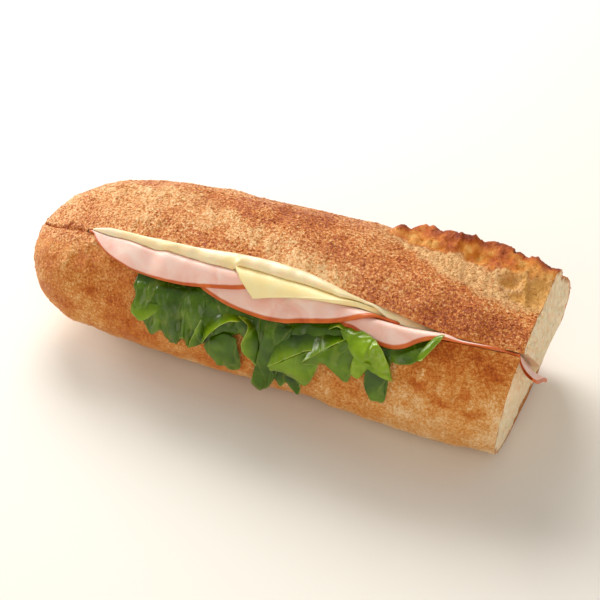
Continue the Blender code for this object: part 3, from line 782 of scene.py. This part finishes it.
left_hang = [(-72, -2.6), (-66, -6.4), (-59, -9), (-46, -10.8), (-31, -10.2), (-16, -8.2), (-1, -5.2)]
left_hang += [(5, -1), (10, 7)]
middle_hang = [(-29, 3), (-25.5, -2.5), (-20, -8), (-12, -11.4), (-5, -13.2), (7, -14.4), (16, -13.5)]
middle_hang += [(24, -11), (36, -7), (44, -3.3), (50, 0), (54, 2.6), (60, 5)]
right_hang = [(28, 5), (31.5, 1), (34.5, -2.5), (38.5, -6.3), (44, -6.8), (52, -9), (60, -9.5), (65, -8)]
right_hang += [(70, -4.8), (76, -2.8), (84, -2.6), (89, -2.2), (94, -1.2), (98, 1.2), (101, 3)]
right_hang += [(104.5, 2.8), (106.6, 1.2), (109, 0.8), (112, 2), (114.2, 6)]
slices = [
    ham("ham_slice_left", -75, 13, 3, 22, left_hang, left_under),
    ham("ham_slice_middle", -32, 65, 18, 16, middle_hang, middle_under),
    ham("ham_slice_right", 22, 115.3, 16, 16, right_hang, right_under),
]


def cooked_ham():
    """Cooked ham: moist, pale pink and faintly marbled, in clouds of about 11 mm, with a smoked rim."""
    made, tree, shader = new_material("cooked_ham")
    place = add(tree, "ShaderNodeTexCoord").outputs["Object"]
    cloud = add(tree, "ShaderNodeTexNoise", {
        "Vector": place, "Scale": 90, "Detail": 5, "Distortion": 1.2}).outputs["Fac"]
    meat = add(tree, "ShaderNodeValToRGB", {"Fac": cloud}, stops=[
        (0.3, "#EFB6A6"), (0.7, "#F7D8CC")]).outputs["Color"]
    smoked = add(tree, "ShaderNodeValToRGB", {"Fac": cloud}, stops=[
        (0.3, "#B84A0C"), (0.7, "#DE7428")]).outputs["Color"]
    rind = add(tree, "ShaderNodeAttribute", attribute_name="rind").outputs["Fac"]
    mixed = add(tree, "ShaderNodeMix", {0: rind, 6: meat, 7: smoked}, data_type="RGBA").outputs[2]
    finish_surface(tree, shader, mixed, (cloud, 0.2, 0.0003), Roughness=0.38,
                   Subsurface_Weight=0.3, Subsurface_Scale=0.0015)
    return made


ham_material = cooked_ham()
for piece, node in zip(slices, ("ham_left", "ham_middle", "ham_right")):
    piece.data.materials.append(ham_material)
    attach(piece, "root")
    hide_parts(node)

# ---------------------------------------------------------------- the cheese
# A straight-sided slice of mild cheese, 1.9 mm thick and cut clean, laid askew on the ham so that one corner
# pokes out. It is one closed sheet with sharp edges, on the same (x, depth) as the ham.

cheese_left, cheese_right = -12, 56
cut_left = [(-12, 5), (-7, 0.5), (-1, -3.5), (4.5, -7.6)]
cut_front = [(4.5, -7.6), (10.9, -5.6), (22.4, -2.6), (35, -0.6), (44, 1.6), (51, 5), (56, 10)]
cheese_x = np.sort(np.concatenate([crowded(cheese_left, cheese_right, 150), np.linspace(3.5, 5.5, 12)]))
cheese_front = np.where(cheese_x < 4.5, np.interp(cheese_x, *zip(*cut_left)), through(cut_front, cheese_x))
cheese_back = through([(-12, 10), (-4, 42), (50, 46), (56, 44)], cheese_x)
share = np.concatenate([[0, 0.001, 0.003, 0.006], np.linspace(0.012, 0.99, 60) ** 1.4, [0.996, 0.999, 1]])
depth = cheese_front[:, None] + (cheese_back - cheese_front)[:, None] * share
x = np.repeat(cheese_x[:, None], len(share), 1)
from_edge = np.minimum(depth - cheese_front[:, None], cheese_back[:, None] - depth)
from_edge = np.minimum(from_edge, np.minimum(x - cheese_left, cheese_right - x))
thick = CHEESE_THICK / 2 * np.clip(from_edge / 0.12, 0, 1) ** 0.35
middle = np.full_like(x, ON_LETTUCE + 2 * LAYER + CHEESE_THICK / 2)
cheese = object_from_shells("cheese_slice", [slab(x, depth, middle, thick)])


def mild_cheese():
    """Mild semi-hard cheese: pale yellow, smooth and faintly waxy, in clouds of about 8 mm."""
    made, tree, shader = new_material("mild_cheese")
    place = add(tree, "ShaderNodeTexCoord").outputs["Object"]
    cloud = add(tree, "ShaderNodeTexNoise", {"Vector": place, "Scale": 120, "Detail": 3}).outputs["Fac"]
    body = add(tree, "ShaderNodeValToRGB", {"Fac": cloud}, stops=[
        (0.3, "#F8E19D"), (0.7, "#FBEBB4")]).outputs["Color"]
    finish_surface(tree, shader, body, Roughness=0.42, Subsurface_Weight=0.2, Subsurface_Scale=0.001)
    return made


cheese.data.materials.append(mild_cheese())
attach(cheese, "root")
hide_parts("cheese")

# ---------------------------------------------------------------- the spread
# A thick layer of butter, spread under the lid. It is one closed body that fills the room between the layers
# below it and the lid, and its front face bulges out a little, level with the lips.

SPREAD_ENDS = (-73, 104)


def spread_under(x, depth):
    """How high the layers below the spread reach. Near the mouth, cheese and ham take less of the length."""
    inner = ramp(depth, 2, 9)
    on_ham = ON_CRUMB + LAYER + (ON_LETTUCE - ON_CRUMB) * (ramp(x, -66, -50) - ramp(x, 77, 85))
    slice_end = 50 + 15 * inner
    second_ham = LAYER * (ramp(x, -43, -35) - ramp(x, slice_end, slice_end + 6))
    cheese_start, cheese_end = -8 - 9 * inner, 47 + 10 * inner
    on_cheese = ramp(x, cheese_start, cheese_start + 3) - ramp(x, cheese_end, cheese_end + 6)
    return on_ham + second_ham + (CHEESE_THICK + GAP) * on_cheese


spread_x = crowded(*SPREAD_ENDS, 300, 0.2)[:, None]
fronts = [(-73, 1.2), (-40, 0.4), (34, 0.8), (42, 2), (50, 3.4), (60, 5), (68, 7), (76, 11)]
spread_edge = through(fronts, spread_x)
spread_back = through([(-73, 12), (-50, 30), (-30, 38)], spread_x)
face = np.linspace(0, 1, 15)
into = np.linspace(1, 0, 8) ** 2
face_low = spread_under(spread_x, spread_edge) - 0.1
face_high = clearance(spread_x, np.maximum(0, spread_edge - LIP_BEND)) - 0.1
face_lift = face_low + (face_high - face_low) * face
face_depth = spread_edge + 0.3 * (face_lift - face_low) - 0.5 * np.sin(math.pi * face) ** 0.8
low_depth = spread_edge + (spread_back - spread_edge) * into[:-1]
top_edge = face_depth[:, -1:]
high_depth = top_edge + (spread_back - top_edge) * into[::-1][1:]
low_lift = spread_under(spread_x, low_depth) + 0.05
high_lift = clearance(spread_x, np.maximum(0, high_depth - LIP_BEND)) - 0.15
depth = np.concatenate([low_depth, face_depth, high_depth], 1)
lift = np.concatenate([low_lift, face_lift, high_lift], 1)
x = np.repeat(spread_x, depth.shape[1], 1)
wobble = rough(np.stack([x, depth, lift], -1), 9, 2, 30)
depth = depth - 0.5 * wobble * (depth < spread_edge + 2)
spread_places = carrier(x, depth, lift)
rings = np.arange(x.size).reshape(x.shape)
spread_faces = []
for i in range(len(rings) - 1):
    spread_faces += strip([*rings[i], rings[i, 0]], [*rings[i + 1], rings[i + 1, 0]])
spread_faces += [tuple(rings[0].tolist()), tuple(rings[-1].tolist())]
spread = object_from("butter_spread", spread_places.reshape(-1, 3), spread_faces)


def soft_butter():
    """Butter spread: creamy, smooth and softly glossy, in clouds of about 17 mm."""
    made, tree, shader = new_material("soft_butter")
    place = add(tree, "ShaderNodeTexCoord").outputs["Object"]
    cloud = add(tree, "ShaderNodeTexNoise", {"Vector": place, "Scale": 60, "Detail": 2}).outputs["Fac"]
    body = add(tree, "ShaderNodeValToRGB", {"Fac": cloud}, stops=[
        (0.3, "#F3DCA4"), (0.7, "#FAE9C6")]).outputs["Color"]
    finish_surface(tree, shader, body, Roughness=0.33, Subsurface_Weight=0.4, Subsurface_Scale=0.002)
    return made


spread.data.materials.append(soft_butter())
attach(spread, "root")
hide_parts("spread")

# ---------------------------------------------------------------- the lettuce
# Leaves of frilled green lettuce, under half a millimetre thick. They lie flat under the ham, then hang down
# the front in lobes and ruffles. Each lobe is a blade between two smooth edges, given as (x, depth, lift),
# with x and depth as for the ham and lift as the height off the crust or crumb.

LEAF_THICK = 0.42
CURL_ALONG = 0.44  # how far a point shifts along the loaf, and up it, per millimetre that it stands out
CURL_UP = 0.77
FLAT_LIFT = 2  # the lift at which nothing shifts


def ham_edge(x):
    """The depth at which the lowest slice of ham ends, above the leaves."""
    edges = []
    for hang in (left_hang, middle_hang, right_hang):
        edges.append(np.where((x > hang[0][0]) & (x < hang[-1][0]), through(hang, x), 9))
    return np.minimum.reduce(edges)


# pale lightens a lobe: partly its paler back, partly a painted highlight where it curls up to the light
def blade(inner, outer, bulge=0.0, pale=0.0, seed=0, frill=0.3, crumpled=0.7, free=False):
    """A lobe of leaf from its inner edge to its outer, frilled one. A free lobe may stand off the crust."""
    along = np.linspace(0, 1, 110)[:, None]
    across = np.linspace(0, 1, 36)[None]
    edges = []
    for points in (inner, outer):
        x, depth, lift = np.array(points, float).T
        curl = lift - FLAT_LIFT
        at = np.linspace(0, 1, len(points))
        columns = (x + CURL_ALONG * curl, depth + CURL_UP * curl, lift)
        edges.append([through(list(zip(at, column)), along) for column in columns])
    (x0, d0, l0), (x1, d1, l1) = edges
    length = np.hypot(x1 - x0, d1 - d0)
    rim_run = np.cumsum(np.hypot(np.gradient(x1[:, 0]), np.gradient(d1[:, 0])))[:, None]
    drift = rough(np.stack(np.broadcast_arrays(rim_run, float(seed), across * 3), -1), 9, 2, seed)
    wave = np.sin(2 * math.pi * (rim_run / 8 + 0.8 * drift))
    x = x0 + (x1 - x0) * across
    depth = d0 + (d1 - d0) * across
    flat = np.stack([x, depth, np.full_like(x, 3.0 * seed)], -1)
    lift = l0 + (l1 - l0) * across ** 1.4
    lift = lift + bulge * np.sin(math.pi * across) * np.sin(math.pi * np.clip(along, 0.04, 0.96)) ** 0.6
    lift = lift + frill * across ** 4 * (1.5 * wave + 0.8)
    vein = np.abs(rough(flat * [1, 0.5, 1], 8, 2, seed + 4))
    crumple = rough(flat, 6, 1, seed + 2) + 0.4 * rough(flat, 2.6, 1, seed + 3)
    crumple -= 0.4 * (1 - ramp(vein, 0, 0.14))
    lift = lift + crumpled * crumple * ramp(length * across, 0, 6)
    if not free:
        lift = np.minimum(lift, 0.72 + 12 * ramp(ham_edge(x) - depth, 0.2, 12))
    lift = np.maximum(lift, 0.45)
    from_edge = np.minimum(np.minimum(along, 1 - along) * 30, np.minimum(across, 1 - across) * length)
    half = LEAF_THICK / 2 * np.clip(from_edge / 0.25, 0, 1) ** 0.5
    # pale: the lobe's own paleness plus painted light and shade, lighter out towards its margin and where it
    # stands high, darker where it lies low
    marks = {
        "pale": pale - 0.16 + 0.16 * ramp(across, 0.2, 0.9) + 0.05 * (lift - 2.4),
        "vein": 1 - ramp(vein, 0.0, 0.1),
        "margin": ramp(across * length, length - 0.6, length),
    }
    return slab(x, depth, lift, half, marks)


def rooted(left, right, depth=12):
    """The inner edge of a lobe that starts under the ham."""
    return [(left, depth, 2), ((left + right) / 2, depth, 2), (right, depth, 2)]


left_blades = [
    blade(rooted(-33, -0.6),
          [(-30, -28, 1), (-22, -30, 1), (-15, -31, 1.2), (-8, -28, 1.2), (1, -22, 1)],
          seed=1, frill=0),
    blade(rooted(-46.4, -17),
          [(-46, -15, 1), (-44.8, -21, 1.6), (-45.4, -26, 3.4), (-44.6, -28, 4), (-41.6, -29.6, 3.2),
           (-38.2, -34.4, 2), (-36, -32.4, 1.8), (-34, -31, 2), (-32.6, -33.6, 1.6), (-30, -36, 1.6),
           (-27.2, -35.6, 1.6), (-25.2, -32.6, 2.2), (-23.2, -31, 3), (-21.8, -35.2, 2.4), (-18.4, -33, 1.8),
           (-15.8, -31.2, 1.8), (-14.2, -29.4, 1.8)],
          bulge=1.0, seed=2, crumpled=2.0),
    blade([(-14.8, -21, 1.8), (-14.2, -26, 2), (-14.4, -30.6, 2.2)],
          [(-16.2, -21, 2.2), (-18.8, -27.5, 4.2), (-22, -35.4, 3.4)],
          bulge=0.6, pale=0.05, seed=3, free=True),
    blade([(-45.6, -21, 2.6), (-40, -21, 3.2), (-33, -20.5, 3)],
          [(-46.4, -24.6, 4.6), (-46, -28, 5.6), (-42.6, -29.6, 5), (-39, -27.4, 4), (-35, -23.6, 3.2)],
          bulge=0.7, pale=0.12, seed=4, free=True),
    blade([(-14, -20, 1.2), (-8, -16, 1.2), (-2, -15, 1.2), (2, -16, 1.2)],
          [(-15.6, -31.5, 3.8), (-11.5, -26, 6.2), (-6, -21.6, 7.2), (-1.5, -20, 6.4)],
          bulge=0.8, pale=0.15, seed=5, free=True),
    blade([(-11, -27, 2.2), (-6, -24, 2.2), (-1, -25, 2.2)],
          [(-14.6, -31.6, 3.6), (-13.8, -35, 3.2), (-11, -37.8, 2.4), (-5.4, -39.8, 1.8), (0, -39, 1.8),
           (0.6, -33, 2.4)],
          bulge=1.4, seed=6, free=True),
    blade([(5, -15, 1.2), (7.6, -20, 1.4), (8.6, -25, 1.4), (8.8, -29, 1.5), (8.4, -32, 1.6)],
          [(-1, -16, 3.4), (3, -20.6, 5.6), (1, -27.8, 5), (3.4, -31, 4), (7.8, -34, 2.4)],
          bulge=0.6, pale=0.1, seed=7, free=True),
]
first_fold = [(12.4, -32.6, 6.2), (17.5, -29.6, 6.6), (22, -26.2, 6.6), (26, -23.2, 5.8), (31.6, -19.8, 4)]
second_fold = [(26.6, -26.6, 6.8), (31.4, -22.9, 7), (36.5, -18, 6.6), (42, -13.5, 5.6)]


def just_below(fold):
    """The edge of a lobe that turns down from a fold."""
    return [(x, depth - 0.1, lift) for x, depth, lift in fold]


right_blades = [
    blade(rooted(-7, 62),
          [(-2, -21, 1), (4, -25.4, 1), (9, -26.5, 1), (12, -31, 1.2), (19, -33, 1.2), (26, -29, 1),
           (33, -23, 1), (41, -20, 1), (50, -20, 1), (57, -24, 1), (62, -14, 1)],
          seed=8, frill=0, crumpled=0.9),
    blade(rooted(10, 25, -2),
          [(10, -27, 1.6), (8.4, -35, 1.8), (5.4, -42.6, 2.2), (8.8, -46.2, 1.8), (12.2, -44, 2),
           (15, -38.4, 2.8), (17, -32, 2.6)],
          bulge=0.9, seed=9),
    blade([(12.5, -32, 2), (17, -32, 2), (22, -31, 2)],
          [(15, -38.6, 1.8), (17.8, -40.6, 1.8), (21, -38.4, 1.8), (25.2, -42.6, 1.6), (26.4, -36, 2)],
          bulge=0.3, seed=10),
    blade([(16, -19, 1.2), (20, -16, 1.2), (26, -14, 1.2), (32, -13, 1.2)], first_fold,
          bulge=0.5, seed=11, free=True),
    blade(just_below(first_fold),
          [(13.6, -33.4, 5.8), (18, -33.6, 4.6), (23, -34, 3.4), (27.8, -36.6, 2.8), (31.2, -31.6, 3.6),
           (33.4, -25, 4.2)],
          bulge=0.8, pale=0.15, seed=12, free=True),
    blade([(28, -16, 1.2), (33, -12, 1.2), (39, -10, 1.2), (44, -9, 1.2)], second_fold,
          bulge=0.6, seed=13, free=True),
    blade(just_below(second_fold),
          [(27.2, -27.2, 6.4), (32.4, -25.4, 4.8), (37.4, -23.6, 3.8), (40.6, -25.2, 3.2), (43, -27.6, 2.8),
           (46, -27.4, 2.8), (47.2, -22, 3.6), (48, -16, 4)],
          bulge=0.9, seed=14, free=True),
    blade(rooted(53, 61, -8),
          [(52.4, -23, 2), (53, -28, 2), (55, -31.4, 1.8), (58, -31.8, 1.8), (61, -31, 1.8), (61.8, -22, 2)],
          bulge=0.2, seed=15),
    blade([(39, -9, 3), (42.6, -14.6, 5), (46.2, -19, 6.6), (47.6, -21, 6.8)],
          [(45.6, -5.6, 2.4), (52.4, -8.2, 3.4), (56.4, -11.6, 4.6), (59.6, -16, 5.2), (63.2, -22.4, 4.8)],
          bulge=2.4, pale=0.22, seed=16, crumpled=1.6, free=True),
    blade([(46.2, -19, 6.8), (49.5, -19.4, 7.4), (53.4, -19.6, 7)],
          [(46, -21.8, 6.2), (46.4, -24.6, 5), (49.6, -25, 4.6), (51.8, -22, 5)],
          bulge=0.5, pale=0.2, seed=17, free=True),
    blade([(35.6, -6, 1.4), (39, -4.6, 1.4), (42, -5, 1.4)],
          [(35, -10.4, 2.8), (38, -9, 4), (41.6, -9.4, 3.4)],
          bulge=0.5, pale=0.15, seed=18, free=True),
]
small_blades = [
    blade(rooted(59.5, 75.6, 4),
          [(59.8, -12, 1), (64, -14, 1.4), (69, -13.2, 1.6), (72.4, -9.6, 2), (75, -4, 1.6)],
          bulge=0.4, seed=19),
    blade([(69.6, -12, 2), (71.4, -7.4, 2.4), (73.8, -3.6, 2.6), (76, -0.6, 2.2)],
          [(72, -12.4, 3.6), (75, -8, 4.4), (77, -4.4, 3.8), (78, -0.8, 2.6)],
          bulge=0.9, pale=0.2, seed=20, free=True),
]


def green_leaf():
    """Lettuce leaf: thin, moist and waxy, deep green with a paler back, margin and net of veins.

    Its shade changes in clouds of about 9 mm, and the net's cells are 2.4 mm across. Painted light and
    shade make a lobe lighter where it stands out and up, and darker where it lies low.
    """
    made, tree, shader = new_material("green_leaf")
    place = add(tree, "ShaderNodeTexCoord").outputs["Object"]
    pale, vein, margin = (add(tree, "ShaderNodeAttribute", attribute_name=label).outputs["Fac"]
                          for label in ("pale", "vein", "margin"))
    cloud = add(tree, "ShaderNodeTexNoise", {"Vector": place, "Scale": 110, "Detail": 4}).outputs["Fac"]
    net = add(tree, "ShaderNodeTexVoronoi", {
        "Vector": place, "Scale": 420}, feature="DISTANCE_TO_EDGE").outputs["Distance"]
    shade = add(tree, "ShaderNodeMath", {0: cloud, 1: 0.7, 2: pale}, operation="MULTIPLY_ADD").outputs[0]
    mixed = add(tree, "ShaderNodeValToRGB", {"Fac": shade}, stops=[
        (0.1, "#264000"), (1.0, "#A9C23C"), (0.3, "#426300"), (0.5, "#628300"),
        (0.75, "#83A30C")]).outputs["Color"]
    veined = add(tree, "ShaderNodeMath", {0: vein, 1: 0.16}, operation="MULTIPLY").outputs[0]
    mixed = add(tree, "ShaderNodeMix", {
        0: veined, 6: mixed, 7: linear("#AEBE45")}, data_type="RGBA").outputs[2]
    rim = add(tree, "ShaderNodeMath", {0: margin, 1: 0.6}, operation="MULTIPLY").outputs[0]
    mixed = add(tree, "ShaderNodeMix", {0: rim, 6: mixed, 7: linear("#AFC658")}, data_type="RGBA").outputs[2]
    finish_surface(tree, shader, mixed, (net, 0.25, 0.0003), Roughness=0.23, Specular_IOR_Level=0.42,
                   Subsurface_Weight=0.15, Subsurface_Scale=0.0008)
    return made


leaf_material = green_leaf()
leaves = {"lettuce_left": left_blades, "lettuce_right": right_blades, "lettuce_small": small_blades}
for node, blades in leaves.items():
    piece = object_from_shells(node + "_leaf", blades)
    piece.data.materials.append(leaf_material)
    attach(piece, "root")
    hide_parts(node)

# ---------------------------------------------------------------- the floor, the light and the camera
# A plain pale floor, a large soft window light from behind, a second one from the left and a weak, warm fill
# from the front. The camera looks down on the front of the loaf from its right.

floor_mesh = bpy.data.meshes.new("floor")
floor_mesh.from_pydata([(-3, -3, 0), (3, -3, 0), (3, 3, 0), (-3, 3, 0)], [], [(0, 1, 2, 3)])
floor = bpy.data.objects.new("floor", floor_mesh)
bpy.context.scene.collection.objects.link(floor)
made, tree, shader = new_material("pale_floor")
shader.inputs["Base Color"].default_value = linear("#EAE6DF")
shader.inputs["Roughness"].default_value = 0.6
floor_mesh.materials.append(made)


def window(name, place, target, size, power, colour):
    """A soft square light, size metres wide, that faces its target."""
    light = bpy.data.lights.new(name, "AREA")
    light.size = size
    light.energy = power
    light.color = linear(colour)[:3]
    holder = bpy.data.objects.new(name, light)
    holder.location = place
    holder.rotation_euler = (Vector(target) - Vector(place)).to_track_quat("-Z", "Y").to_euler()
    bpy.context.scene.collection.objects.link(holder)


window("window", (-0.55, 0.75, 0.85), (0, 0, 0.03), 0.7, 14, "#FFFDF8")
window("side_window", (-1.1, 0.25, 0.45), (-0.05, 0, 0.03), 0.5, 8, "#FFFDF8")
window("fill", (0.5, -1.0, 0.7), (0, 0, 0.03), 1.0, 6.0, "#FFF2DF")
world = bpy.data.worlds.new("room")
world.use_nodes = True
world.node_tree.nodes["Background"].inputs["Color"].default_value = linear("#F2F0EC")
world.node_tree.nodes["Background"].inputs["Strength"].default_value = 0.45
bpy.context.scene.world = world
bpy.context.scene.view_settings.view_transform = "Standard"

CAMERA_PLACE = (188.21, -414.62, 405.03)
CAMERA_TILT, CAMERA_TURN = 50, 23.5

lens = bpy.data.cameras.new("camera")
lens.lens = 87.66
lens.sensor_width = 36
lens.clip_start = 0.01
camera = bpy.data.objects.new("camera", lens)
camera.location = (CAMERA_PLACE + origin_shift) * MM
camera.rotation_euler = (math.radians(CAMERA_TILT), 0, math.radians(CAMERA_TURN))
bpy.context.scene.collection.objects.link(camera)
bpy.context.scene.camera = camera
